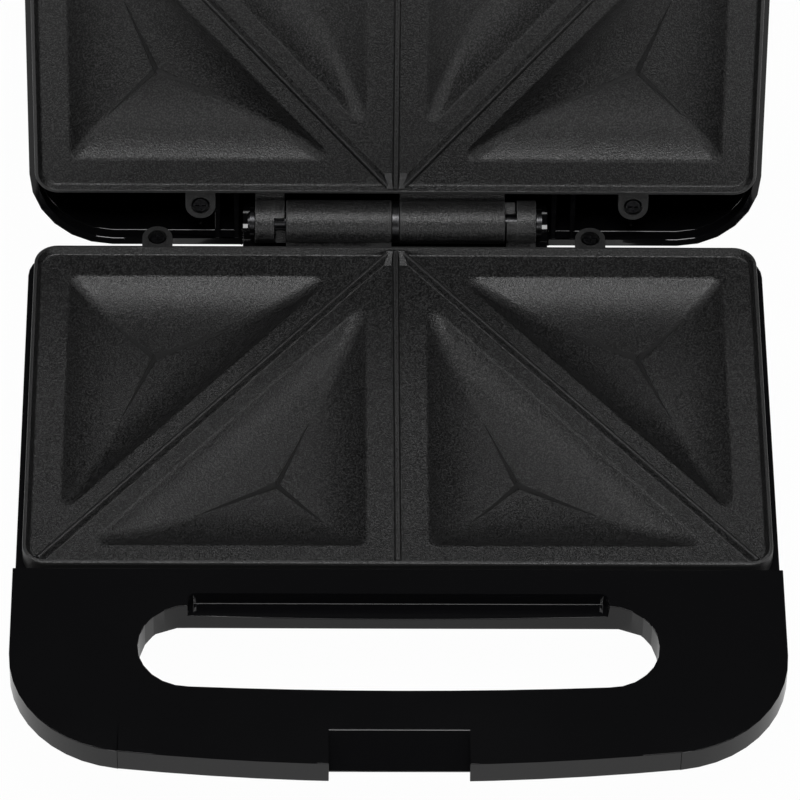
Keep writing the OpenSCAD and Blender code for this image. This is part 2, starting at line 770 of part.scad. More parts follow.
module base_feet() {
    color(rubber_black) {
        foot_posts(0, foot_h, foot_r);
        foot_posts(foot_h - eps, foot_h + foot_stem.y, foot_stem[0]);
    }
}

module terminal_block() {
    color(ceramic) on_table() translate([-block_size.x / 2, block_y, -base_deep + wall_t]) difference() {
        cube(block_size);
        for (x = block_hole_x) translate([x, block_size.y / 2, block_size.z]) {
            translate([0, 0, -6]) cylinder(h = 7, r = 1.6, $fn = 32);
            translate([0, -block_size.y, -5.5]) rotate([-90, 0, 0])
                cylinder(h = 2 * block_size.y, r = 1.4, $fn = 32);
        }
    }
}

module terminal_screws() {
    top = -base_deep + wall_t + block_size.z;
    color(zinc) on_table() for (x = block_hole_x)
        translate([x - block_size.x / 2, block_y + block_size.y / 2, top]) mirror([0, 0, 1])
            translate([0, 0, 0.3]) difference() {
                cylinder(h = 5, r = 1.5, $fn = 32);
                translate([-2, -0.3, -over]) cube([4, 0.6, over + 0.7]);
            }
}

module cord_bush() {
    seat = bush_seat - 2 * fit_gap;
    inside = wall_t + bush_lip;
    color(rubber_black) on_table() translate([0, hinge_y + block_back, cord_z]) difference() {
        union() {
            translate([-bush_flange.x / 2, 0, -bush_flange.x / 2])
                cube([bush_flange.x, bush_flange.y, bush_flange.x]);
            translate([-seat / 2, -inside, -seat / 2]) cube([seat, inside + eps, seat]);
            translate([-bush_flange.x / 2, -inside, -seat / 2])
                cube([bush_flange.x, bush_lip - free_gap, seat]);
        }
        translate([0, -inside - over, 0]) rotate([-90, 0, 0])
            cylinder(h = inside + bush_flange.y + 2 * over, r = cord_r, $fn = 64);
    }
}

module hinge_pin() {
    color(steel) on_table() translate([0, hinge_y, 0]) {
        rod_x(-pin_end - 2, pin_end, pin_r);
        rod_x(pin_end, pin_end + 1.6, pin_r + 1.6);
    }
}

module hinge_pin_cap() {
    color(steel) on_table() translate([0, hinge_y, 0]) difference() {
        rod_x(-pin_end - 1.4, -pin_end, pin_r + 1.8);
        rod_x(-pin_end - 2, -pin_end + over, pin_r + run_gap);
    }
}

module hinge_spacer() {
    color(steel) on_table() translate([0, hinge_y, 0]) difference() {
        rod_x(0.15 - barrel_mid, barrel_mid - 0.15, barrel_r - 0.3);
        rod_x(-barrel_mid, barrel_mid, pin_r + run_gap);
    }
}

module thermostat() {
    color(rubber_black) on_lid() translate([0, pad_y, stat_top - stat_h]) difference() {
        union() {
            cylinder(h = stat_h, r = stat_r, $fn = 48);
            both_sides() translate([2, -1.5, -2.6]) cube([0.8, 3, 2.6 + eps]);
        }
        translate([0, 0, -over]) cylinder(h = stat_h + 2 * over, r = post_screw_r + fit_gap, $fn = 32);
    }
}

module thermostat_screw() {
    color(zinc) on_lid() translate([0, pad_y, stat_top - stat_h]) mirror([0, 0, 1])
        screw(1.9, 1.2, post_screw_r, stat_screw_len);
}

module thermal_fuse() {
    color(ceramic) on_lid() translate([20, fuse_y, tray_z - tray_t - 3]) {
        rod_x(-6, 6, 2.2);
        rod_x(-11, 11, 0.6);
    }
}

module fuse_clip() {
    color(steel) on_lid() translate([0, fuse_y, tray_z - tray_t]) bar_x(17, 23) difference() {
        union() {
            translate([0, -3]) circle(r = 3, $fn = 32);
            translate([-7, -0.8]) square([14, 0.8]);
        }
        translate([0, -3]) circle(r = 2.2 + run_gap, $fn = 32);
        translate([-9, 0]) square([18, 2]);
    }
}

// Lens of a lamp: a low dome outside and a stem through the shell
module lens() {
    translate([0, 0, -lid_h]) {
        translate([0, 0, -lens_flange]) cylinder(h = lens_flange, r = lens_r + 1, $fn = 48);
        translate([0, 0, -lens_flange - 0.8]) cylinder(h = 0.8 + eps, r1 = lens_r - 1, r2 = lens_r + 0.4, $fn = 48);
        difference() {
            translate([0, 0, -eps]) cylinder(h = wall_t + lens_stem, r = lens_r, $fn = 48);
            cylinder(h = wall_t + lens_stem + over, r = lens_r - 1.2, $fn = 48);
        }
    }
}

module power_lens() {
    color([0.75, 0.05, 0.03]) on_lid() translate([-lamp_gap, lamp_y, 0]) lens();
}

module ready_lens() {
    color([0.05, 0.5, 0.12]) on_lid() translate([lamp_gap, lamp_y, 0]) lens();
}

module lamp() {
    translate([0, 0, -lid_h + 1.2]) cylinder(h = lamp_len, r = lamp_r, $fn = 32);
}

module power_lamp() {
    color([0.95, 0.8, 0.7]) on_lid() translate([-lamp_gap, lamp_y, 0]) lamp();
}

module ready_lamp() {
    color([0.8, 0.95, 0.8]) on_lid() translate([lamp_gap, lamp_y, 0]) lamp();
}

// Holder that is pushed over the two lens stems from inside and carries the lamps
module lamp_holder() {
    z0 = -lid_h + wall_t;
    color(ceramic) on_lid() difference() {
        translate([-lamp_gap - lens_r - holder_rim, lamp_y - lens_r - holder_rim, z0])
            cube([2 * (lamp_gap + lens_r + holder_rim), 2 * (lens_r + holder_rim), holder_h]);
        both_sides() {
            post(lamp_gap, lamp_y, z0 - over, z0 + holder_cup, lens_r + fit_gap);
            post(lamp_gap, lamp_y, z0 - over, z0 + holder_h + over, lamp_r + run_gap);
        }
    }
}

module latch_pin() {
    color(steel) on_lid() translate([0, front(pivot_t), -pivot_h])
        rod_x(-notch_w / 2 - 2.8, notch_w / 2 + 2.8, pivot_r);
}

// Side view of the latch about its pivot, drawn as it stands when latched: z towards the base
module latch_profile() {
    arm0 = notch_foot + 0.6 - pivot_t;
    arm1 = arm0 + latch_t;
    reach = hook_r + hook_t;
    mirror([1, 0]) difference() {
        union() {
            circle(r = latch_barrel_r, $fn = 48);
            intersection() {
                circle(r = reach, $fn = 96);
                polygon([[0, -latch_barrel_r], [arm1, -latch_barrel_r], [arm1, reach], [arm0, reach],
                    [arm0, latch_barrel_r + 0.6], [0, latch_barrel_r]]);
            }
            intersection() {
                difference() {
                    circle(r = reach, $fn = 96);
                    circle(r = hook_r, $fn = 96);
                }
                translate([-1.2, hook_r - 4]) square([arm1 + 1.2, 2 * hook_t + 4]);
            }
            polygon([[1, -latch_barrel_r + 0.2], [arm1 + 2.6, -latch_barrel_r - 1.8],
                [arm1 + 3, -latch_barrel_r - 0.2], [arm1, -latch_barrel_r + 2.4]]);
        }
        circle(r = pivot_r + run_gap + eps, $fn = 48);
    }
}

module latch_clip() {
    hw = notch_w / 2 - 0.4;
    color(shell_black) on_lid() translate([0, front(pivot_t), -pivot_h])
        rotate([latch_rest, 0, 0]) bar_x(-hw, hw) latch_profile();
}

base_shell();
lower_plate();
lower_heater();
lower_heater_ends();
lower_reflector();
lower_reflector_screws();
lower_plate_screws();
base_feet();
terminal_block();
terminal_screws();
cord_bush();
hinge_pin();
hinge_pin_cap();
hinge_spacer();
lid_shell();
upper_plate();
upper_heater();
upper_heater_ends();
upper_reflector();
upper_reflector_screws();
upper_plate_screws();
thermostat();
thermostat_screw();
thermal_fuse();
fuse_clip();
power_lens();
ready_lens();
power_lamp();
ready_lamp();
lamp_holder();
latch_pin();
latch_clip();
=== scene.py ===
import json
import math
import bmesh
import bpy
from mathutils import Matrix, Vector


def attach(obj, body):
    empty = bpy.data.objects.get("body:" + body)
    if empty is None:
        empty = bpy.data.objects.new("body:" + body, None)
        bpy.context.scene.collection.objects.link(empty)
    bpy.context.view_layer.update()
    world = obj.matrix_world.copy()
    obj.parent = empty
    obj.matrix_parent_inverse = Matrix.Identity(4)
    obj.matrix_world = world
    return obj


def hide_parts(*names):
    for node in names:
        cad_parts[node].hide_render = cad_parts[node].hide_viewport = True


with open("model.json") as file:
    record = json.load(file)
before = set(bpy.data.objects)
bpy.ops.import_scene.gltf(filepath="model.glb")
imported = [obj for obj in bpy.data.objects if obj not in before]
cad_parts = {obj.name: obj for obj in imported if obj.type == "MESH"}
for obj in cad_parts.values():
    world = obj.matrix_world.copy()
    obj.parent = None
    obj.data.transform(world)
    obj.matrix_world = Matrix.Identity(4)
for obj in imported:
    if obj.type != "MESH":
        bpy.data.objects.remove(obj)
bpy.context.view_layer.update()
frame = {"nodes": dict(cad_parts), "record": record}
scene = bpy.context.scene
nodes = frame["nodes"]
print("frame loaded:", len(nodes), "nodes")

# both plates are drawn in mm about z = 0, the plane that they meet in, and then put in place
stance = {"seam": 42.0, "openAngle": 105.0, "hingeY": 72.8}

toMetres = Matrix.Scale(0.001, 4)
basePlace = toMetres @ Matrix.Translation((0, 0, stance["seam"]))
lidPlace = (toMetres @ Matrix.Translation((0, stance["hingeY"], stance["seam"]))
            @ Matrix.Rotation(math.radians(-stance["openAngle"]), 4, "X")
            @ Matrix.Rotation(math.pi, 4, "Y") @ Matrix.Translation((0, -stance["hingeY"], 0)))


# solved from the plates' rims, the handles and the hinge line; angles in degrees, lens in mm
photoCamera = {"elevation": 48.44, "turn": -1.14, "roll": 1.036, "distance": 1.9,
               "target": (0.00098, 0.00206, 0.040), "lens": 287.2, "sensor": 36, "clipEnd": 50}


def addCamera(values):
    camera = bpy.data.cameras.new("photoCamera")
    camera.lens = values["lens"]
    camera.sensor_width = values["sensor"]
    camera.clip_end = values["clipEnd"]
    holder = bpy.data.objects.new("photoCamera", camera)
    scene.collection.objects.link(holder)
    up, side = math.radians(values["elevation"]), math.radians(values["turn"])
    away = Vector((math.sin(side) * math.cos(up), -math.cos(side) * math.cos(up), math.sin(up)))
    place = Matrix.Translation(Vector(values["target"]) + away * values["distance"])
    turn = (-away).to_track_quat("-Z", "Y").to_matrix().to_4x4()
    roll = Matrix.Rotation(math.radians(values["roll"]), 4, "Z")
    holder.matrix_world = place @ turn @ roll
    scene.camera = holder


def linkAll(tree, pairs):
    for source, target in pairs:
        tree.links.new(source, target)


def addNode(tree, kind, **values):
    node = tree.nodes.new(kind)
    for name, value in values.items():
        if name in node.inputs:
            node.inputs[name].default_value = value
        else:
            setattr(node, name, value)
    return node


def seenDirectly(tree, mirrored):  # 1 for the camera's own rays, less in gloss and in glass
    path = addNode(tree, "ShaderNodeLightPath")
    either = addNode(tree, "ShaderNodeMath", operation="MAXIMUM")
    dimmed = addNode(tree, "ShaderNodeMath", operation="MULTIPLY")
    dimmed.inputs[1].default_value = mirrored
    every = addNode(tree, "ShaderNodeMath", operation="MAXIMUM")
    linkAll(tree, [(path.outputs["Is Glossy Ray"], either.inputs[0]),
                   (path.outputs["Is Transmission Ray"], either.inputs[1]),
                   (either.outputs[0], dimmed.inputs[0]),
                   (path.outputs["Is Camera Ray"], every.inputs[0]),
                   (dimmed.outputs[0], every.inputs[1])])
    return every.outputs[0]


stageValues = {
    "floorSize": 6.0, "floorWhite": 0.5,
    "floorShown": 0.98, "mirrored": 0.45,  # how white it looks to the camera, and in gloss
    "fill": 0.025,  # the world's own light on the object
}

softLights = [  # name, place, aimed at, size, power
    ("frontBox", (0.0, -0.80, 2.20), (0, 0, 0.05), (1.1, 0.75), 26),
    ("topBox", (0.0, 1.05, 2.15), (0, 0, 0.05), (0.9, 0.4), 5.5),
    ("lowBox", (0.0, -2.30, 0.45), (0, 0, 0.15), (4.2, 0.3), 16.0),
    ("leftBox", (-1.75, 0.1, 2.1), (0, 0, 0.05), (0.6, 0.8), 9),
    ("rightBox", (1.75, 0.1, 2.1), (0, 0, 0.05), (0.6, 0.8), 9),
]


def addStage(values):
    bm = bmesh.new()
    bmesh.ops.create_grid(bm, x_segments=1, y_segments=1, size=values["floorSize"] / 2)
    mesh = bpy.data.meshes.new("floor")
    bm.to_mesh(mesh)
    bm.free()
    floor = bpy.data.objects.new("floor", mesh)
    scene.collection.objects.link(floor)
    material = bpy.data.materials.new("paleFloor")
    material.use_nodes = True
    tree = material.node_tree
    tree.nodes.clear()
    matt = addNode(tree, "ShaderNodeBsdfDiffuse", Color=(values["floorWhite"],) * 3 + (1,))
    white = addNode(tree, "ShaderNodeEmission", Color=(1, 1, 1, 1), Strength=1.0)
    share = addNode(tree, "ShaderNodeMath", operation="MULTIPLY")
    share.inputs[1].default_value = values["floorShown"]
    mix = addNode(tree, "ShaderNodeMixShader")
    out = addNode(tree, "ShaderNodeOutputMaterial")
    linkAll(tree, [(seenDirectly(tree, values["mirrored"]), share.inputs[0]),
                   (share.outputs[0], mix.inputs[0]), (matt.outputs[0], mix.inputs[1]),
                   (white.outputs[0], mix.inputs[2]), (mix.outputs[0], out.inputs["Surface"])])
    mesh.materials.append(material)
    world = bpy.data.worlds.new("studio")
    scene.world = world
    world.use_nodes = True
    tree = world.node_tree
    back = tree.nodes["Background"]
    back.inputs["Color"].default_value = (1, 1, 1, 1)
    path = addNode(tree, "ShaderNodeLightPath")
    level = addNode(tree, "ShaderNodeMapRange", **{"To Min": values["fill"], "To Max": 1.0})
    linkAll(tree, [(path.outputs["Is Camera Ray"], level.inputs["Value"]),
                   (level.outputs[0], back.inputs["Strength"])])


def addLights(rows):
    for name, place, aim, size, power in rows:
        light = bpy.data.lights.new(name, "AREA")
        light.shape = "RECTANGLE"
        light.size, light.size_y = size
        light.energy = power
        holder = bpy.data.objects.new(name, light)
        scene.collection.objects.link(holder)
        holder.location = place
        holder.rotation_euler = (Vector(aim) - Vector(place)).to_track_quat("-Z", "Y").to_euler()


scene.view_settings.view_transform = "Standard"
addCamera(photoCamera)
addStage(stageValues)
addLights(softLights)
print("camera, floor and light placed")


def effectGroup(name, inputs, outputs):  # a node group that several finishes share
    group = bpy.data.node_groups.new(name, "ShaderNodeTree")
    kind = "NodeSocketFloat"
    for label, value in inputs:
        socket = group.interface.new_socket(name=label, in_out="INPUT", socket_type=kind)
        socket.default_value = value
    for label in outputs:
        group.interface.new_socket(name=label, in_out="OUTPUT", socket_type=kind)
    return group, group.nodes.new("NodeGroupInput"), group.nodes.new("NodeGroupOutput")


speckRange = {"From Min": 0.46, "From Max": 0.62}  # where the noise turns from dark to light


def makeGrain():  # fine specks: a mask for colour, a height for bump and wide soft patches
    group, given, result = effectGroup("fineGrain", [("Scale", 1800.0), ("Patch", 30.0)],
                                       ["Speck", "Height", "Cloud"])
    place = addNode(group, "ShaderNodeTexCoord")
    fine = addNode(group, "ShaderNodeTexNoise", Detail=2.0, Roughness=0.65)
    speck = addNode(group, "ShaderNodeMapRange", **speckRange)
    cloud = addNode(group, "ShaderNodeTexNoise", Detail=3.0, Roughness=0.5)
    linkAll(group, [(place.outputs["Object"], fine.inputs["Vector"]),
                    (given.outputs["Scale"], fine.inputs["Scale"]),
                    (place.outputs["Object"], cloud.inputs["Vector"]),
                    (given.outputs["Patch"], cloud.inputs["Scale"]),
                    (fine.outputs[0], speck.inputs["Value"]),
                    (speck.outputs[0], result.inputs["Speck"]),
                    (fine.outputs[0], result.inputs["Height"]),
                    (cloud.outputs[0], result.inputs["Cloud"])])
    return group


def makeHandling():  # faint smudges and hairlines: a mask for roughness and a height for bump
    group, given, result = effectGroup(
        "handlingMarks", [("Smudge Scale", 22.0), ("Hairline Scale", 260.0)],
        ["Smudge", "Height"])
    place = addNode(group, "ShaderNodeTexCoord")
    smudge = addNode(group, "ShaderNodeTexNoise", Detail=5.0, Roughness=0.6, Distortion=0.4)
    hair = addNode(group, "ShaderNodeTexNoise", Detail=1.0, Roughness=0.4)
    linkAll(group, [(place.outputs["Object"], smudge.inputs["Vector"]),
                    (given.outputs["Smudge Scale"], smudge.inputs["Scale"]),
                    (place.outputs["Object"], hair.inputs["Vector"]),
                    (given.outputs["Hairline Scale"], hair.inputs["Scale"]),
                    (smudge.outputs[0], result.inputs["Smudge"]),
                    (hair.outputs[0], result.inputs["Height"])])
    return group


fineGrain = makeGrain()
handlingMarks = makeHandling()


def startMaterial(name, base, roughness, metallic=0.0, **more):
    material = bpy.data.materials.new(name)
    material.use_nodes = True
    shader = material.node_tree.nodes["Principled BSDF"]
    shader.inputs["Base Color"].default_value = tuple(base) + (1,)
    shader.inputs["Roughness"].default_value = roughness
    shader.inputs["Metallic"].default_value = metallic
    for label, value in more.items():
        shader.inputs[label.replace("_", " ")].default_value = value
    return material, material.node_tree, shader


def useGroup(tree, group, **values):
    node = tree.nodes.new("ShaderNodeGroup")
    node.node_tree = group
    for label, value in values.items():
        node.inputs[label].default_value = value
    return node


def spread(tree, source, low, high, target):  # a 0..1 value turned into low..high
    span = addNode(tree, "ShaderNodeMapRange", **{"To Min": low, "To Max": high})
    linkAll(tree, [(source, span.inputs["Value"]), (span.outputs[0], target)])


def bumpFrom(tree, source, bump, shader):  # bump: its strength, and its depth in metres
    made = addNode(tree, "ShaderNodeBump", Strength=bump[0], Distance=bump[1])
    linkAll(tree, [(source, made.inputs["Height"]), (made.outputs[0], shader.inputs["Normal"])])


def twoTone(tree, mask, low, high):  # a colour between low and high, wherever mask says
    mix = addNode(tree, "ShaderNodeMix", data_type="RGBA")
    mix.inputs[6].default_value = tuple(low) + (1,)
    mix.inputs[7].default_value = tuple(high) + (1,)
    linkAll(tree, [(mask, mix.inputs[0])])
    return mix


coatingValues = {
    "dark": (0.001, 0.001, 0.0011), "light": (0.034, 0.034, 0.0343),  # the two tones of the specks
    "grain": 2000.0, "patch": 40.0, "bump": (1.0, 0.00018), "smooth": 0.28, "rough": 0.37,
    # the crest colour is a painted highlight: convex edges, found by pointiness, are coloured
    # lighter
    "paintedCrestHighlight": (0.03, 0.03, 0.0303), "paintedCrestRange": {"From Min": 0.512, "From Max": 0.555},
}


def coatedCasting(values):
    material, tree, shader = startMaterial("speckledNonStick", values["dark"], values["rough"])
    grain = useGroup(tree, fineGrain, Scale=values["grain"], Patch=values["patch"])
    specks = twoTone(tree, grain.outputs["Speck"], values["dark"], values["light"])
    # painted highlight: where the mesh is convex, the specked colour is mixed towards the lighter
    # crest colour
    edge = addNode(tree, "ShaderNodeNewGeometry")
    paintedCrestHighlight = addNode(tree, "ShaderNodeMapRange", **values["paintedCrestRange"])
    paintedCrests = twoTone(tree, paintedCrestHighlight.outputs[0], values["dark"], values["paintedCrestHighlight"])  # crests painted lighter: a painted highlight along convex edges
    linkAll(tree, [(edge.outputs["Pointiness"], paintedCrestHighlight.inputs["Value"]),
                   (specks.outputs[2], paintedCrests.inputs[6]),
                   (paintedCrests.outputs[2], shader.inputs["Base Color"])])
    spread(tree, grain.outputs["Cloud"], values["smooth"], values["rough"],
           shader.inputs["Roughness"])
    bumpFrom(tree, grain.outputs["Height"], values["bump"], shader)
    return material


finishBumps = {"plastic": (0.02, 0.0001), "metal": (0.1, 0.00005), "matt": (0.12, 0.00005)}


def polishedPlastic(name, colour, smooth, rough, **more):
    material, tree, shader = startMaterial(name, colour, smooth, **more)
    marks = useGroup(tree, handlingMarks)
    spread(tree, marks.outputs["Smudge"], smooth, rough, shader.inputs["Roughness"])
    bumpFrom(tree, marks.outputs["Height"], finishBumps["plastic"], shader)
    return material


def grainedBody(name, low, high, smooth, rough, grainScale, patch, bump, metallic=0.0):
    material, tree, shader = startMaterial(name, low, smooth, metallic=metallic)
    grain = useGroup(tree, fineGrain, Scale=grainScale, Patch=patch)
    tones = twoTone(tree, grain.outputs["Cloud"], low, high)
    linkAll(tree, [(tones.outputs[2], shader.inputs["Base Color"])])
    spread(tree, grain.outputs["Speck"], smooth, rough, shader.inputs["Roughness"])
    bumpFrom(tree, grain.outputs["Height"], bump, shader)
    return material


def workedMetal(name, low, high, smooth, rough, grainScale):
    return grainedBody(name, low, high, smooth, rough, grainScale, 60.0, finishBumps["metal"],
                       metallic=1.0)


def mattBody(name, low, high, smooth, rough, grainScale):
    return grainedBody(name, low, high, smooth, rough, grainScale, 80.0, finishBumps["matt"])


def clearBody(name, colour, smooth, rough, through, ior):
    return polishedPlastic(name, colour, smooth, rough, Transmission_Weight=through, IOR=ior)


finishes = {  # by material slot: the colour or its two tones, the roughness from and to, the grain
    "coated_plate": coatedCasting(coatingValues),
    "shell_plastic": polishedPlastic("polishedBlackShell", (0.0035, 0.0035, 0.004), 0.05, 0.1),
    "latch_plastic": polishedPlastic("polishedBlackLatch", (0.005, 0.005, 0.0055), 0.08, 0.15),
    "heater_steel": workedMetal("drawnHeaterTube", (0.32, 0.31, 0.30), (0.45, 0.43, 0.41),
                                0.35, 0.5, 900.0),
    "reflector_sheet": workedMetal("rolledReflector", (0.66, 0.66, 0.67), (0.76, 0.76, 0.77),
                                   0.25, 0.4, 700.0),
    "zinc_screw": workedMetal("zincPlate", (0.5, 0.5, 0.47), (0.64, 0.63, 0.58),
                              0.25, 0.4, 1500.0),
    "black_screw": workedMetal("blackenedScrew", (0.045, 0.045, 0.048), (0.09, 0.09, 0.095),
                               0.28, 0.42, 1500.0),
    "pin_steel": workedMetal("oiledSteel", (0.035, 0.035, 0.037), (0.06, 0.06, 0.062),
                             0.3, 0.45, 1200.0),
    "foot_rubber": mattBody("footRubber", (0.022, 0.022, 0.022), (0.035, 0.035, 0.035),
                            0.65, 0.8, 900.0),
    "bush_rubber": mattBody("bushRubber", (0.018, 0.018, 0.018), (0.028, 0.028, 0.028),
                            0.5, 0.65, 900.0),
    "ceramic": mattBody("steatite", (0.78, 0.75, 0.68), (0.86, 0.84, 0.78), 0.4, 0.6, 700.0),
    "thermostat_body": polishedPlastic("thermostatBody", (0.03, 0.028, 0.026), 0.3, 0.45),
    "fuse_body": mattBody("glazedFuse", (0.8, 0.77, 0.7), (0.87, 0.85, 0.8), 0.2, 0.35, 700.0),
    "red_lens": clearBody("redLens", (0.5, 0.012, 0.008), 0.08, 0.16, 0.35, 1.49),
    "green_lens": clearBody("greenLens", (0.02, 0.32, 0.06), 0.08, 0.16, 0.35, 1.49),
    "lamp_glass": clearBody("lampGlass", (0.9, 0.88, 0.85), 0.03, 0.06, 0.9, 1.5),
    "holder_plastic": mattBody("lampHolder", (0.72, 0.7, 0.64), (0.78, 0.77, 0.72),
                               0.4, 0.55, 700.0),
}
print("materials made:", len(finishes))


record = frame["record"]
slotOf = {row["node"]: row["material_slot"] for row in record["subparts"]}
bodyOf = {name: body for body, names in record["behaviour"]["bodies"].items() for name in names}


def finishPiece(name, bm, node, sharp):  # sharp: edges over this angle in degrees stay hard
    mesh = bpy.data.meshes.new(name)
    bm.to_mesh(mesh)
    bm.free()
    mesh.shade_smooth()
    mesh.set_sharp_from_angle(angle=math.radians(sharp))
    mesh.materials.append(finishes[slotOf[node]])
    piece = bpy.data.objects.new(name, mesh)
    scene.collection.objects.link(piece)
    even = piece.modifiers.new("evenNormals", "WEIGHTED_NORMAL")
    even.keep_sharp = True
    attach(piece, bodyOf[node])
    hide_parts(node)


scoopValues = {  # mm; the tub's front leans back under the finger slot, as the photo shows there
    "half": 71.0, "fade": 9.0, "cuts": 5,  # half its width, and how it runs out at both ends
    "back": -50.0, "front": -88.0, "backFade": 8.0,  # only what lies between these is moved
    "levels": [(5.0, 5.1), (5.9, 8.9), (8.5, 10.5), (12.4, 9.6), (17.0, 6.4), (21.9, 2.4),
               (26.0, 0.3), (27.0, 0.0)],  # height, and how far back the wall goes there
    # the foot of the slot's rear wall rises to a slope that starts at this y and z, so that the
    # floor shows below it
    "foot": (27.0, 32.0), "footBack": -75.0, "slope": (-78.4, 30.2, 0.889), "lift": 0.4,
    "footTop": 32.5,
}


def scoopFront(bm):
    v = scoopValues
    low, high = v["foot"]
    startY, startZ, fall = v["slope"]
    for side in (-1, 1):
        for cut in range(v["cuts"]):
            x = side * (v["half"] + v["fade"] * cut / (v["cuts"] - 1)) / 1000
            bmesh.ops.bisect_plane(bm, geom=list(bm.verts) + list(bm.edges) + list(bm.faces),
                                   plane_co=(x, 0, 0), plane_no=(1, 0, 0))
    for vert in bm.verts:
        x, y, z = vert.co * 1000
        share = min(max((v["half"] + v["fade"] - abs(x)) / v["fade"], 0), 1)
        share = share * share * (3 - 2 * share)
        if share == 0 or y > v["back"] or y < v["front"]:
            continue
        if low <= z < high and y < v["footBack"]:
            foot = min(startZ + (startY - y) / fall + v["lift"], v["footTop"])
            vert.co.z = (z + max(foot - z, 0) * share) / 1000
        elif z < low:
            pairs = zip(v["levels"], v["levels"][1:])
            shift = next((one[1] + (two[1] - one[1]) * (z - one[0]) / (two[0] - one[0])
                          for one, two in pairs if z <= two[0]), 0)
            back = min((v["back"] - y) / v["backFade"], 1)
            vert.co.y += max(shift, 0) * share * back / 1000


lidBackValues = {  # mm, in the plates' own frame
    "edge": 47.3, "lip": 0.72,  # half the cut-out beside the hinge block, and a thin lip along it
    "ribCorner": (82.71, -31.61), "skin": (80.39, -30.49),  # ribs end inside the skin, not past it
    "near": 0.05,
}


def mendLidBack(bm):
    v = lidBackValues
    back = lidPlace.inverted()
    for vert in bm.verts:
        place = back @ vert.co
        offsets = (place.y - v["ribCorner"][0], place.z - v["ribCorner"][1])
        if max(abs(offset) for offset in offsets) < v["near"]:
            place.y, place.z = v["skin"]
            vert.co = lidPlace @ place
    bmesh.ops.remove_doubles(bm, verts=bm.verts, dist=2e-5)
    bm.normal_update()
    for side in (-1, 1):
        faces = [f for f in bm.faces if f.normal.x * side < -0.999
                 and abs(f.calc_center_median().x * 1000 * side - v["edge"]) < v["near"]]
        made = bmesh.ops.extrude_face_region(bm, geom=faces)["geom"]
        bmesh.ops.translate(bm, vec=(-side * v["lip"] / 1000, 0, 0),
                            verts=[g for g in made if isinstance(g, bmesh.types.BMVert)])


softValues = {  # which edges of a copy are rounded (degrees, metres), and how
    "merge": 2e-6, "flat": 0.6, "hard": 35.0, "shortest": 0.0015, "segments": 3, "sharp": 18.0,
}

softened = {  # the rounding in metres, and what else is done to the copy
    "base_shell": (0.0002, scoopFront),
    "lid_shell": (0.0003, mendLidBack),
    "latch_clip": (0.0002, None),
}


def softenNode(name, node, width, reshape):  # a merged copy of a CAD node with rounded edges
    v = softValues
    bm = bmesh.new()
    bm.from_mesh(nodes[node].data)
    bmesh.ops.remove_doubles(bm, verts=bm.verts, dist=v["merge"])
    bmesh.ops.dissolve_limit(bm, angle_limit=math.radians(v["flat"]), verts=bm.verts,
                             edges=bm.edges)
    if reshape:
        reshape(bm)
    hard = [e for e in bm.edges if e.is_manifold and e.calc_length() > v["shortest"]
            and e.calc_face_angle(0) > math.radians(v["hard"])]
    bmesh.ops.bevel(bm, geom=hard, offset=width, offset_type="OFFSET", segments=v["segments"],
                    profile=0.5, affect="EDGES", clamp_overlap=False, material=-1)
    finishPiece(name, bm, node, v["sharp"])


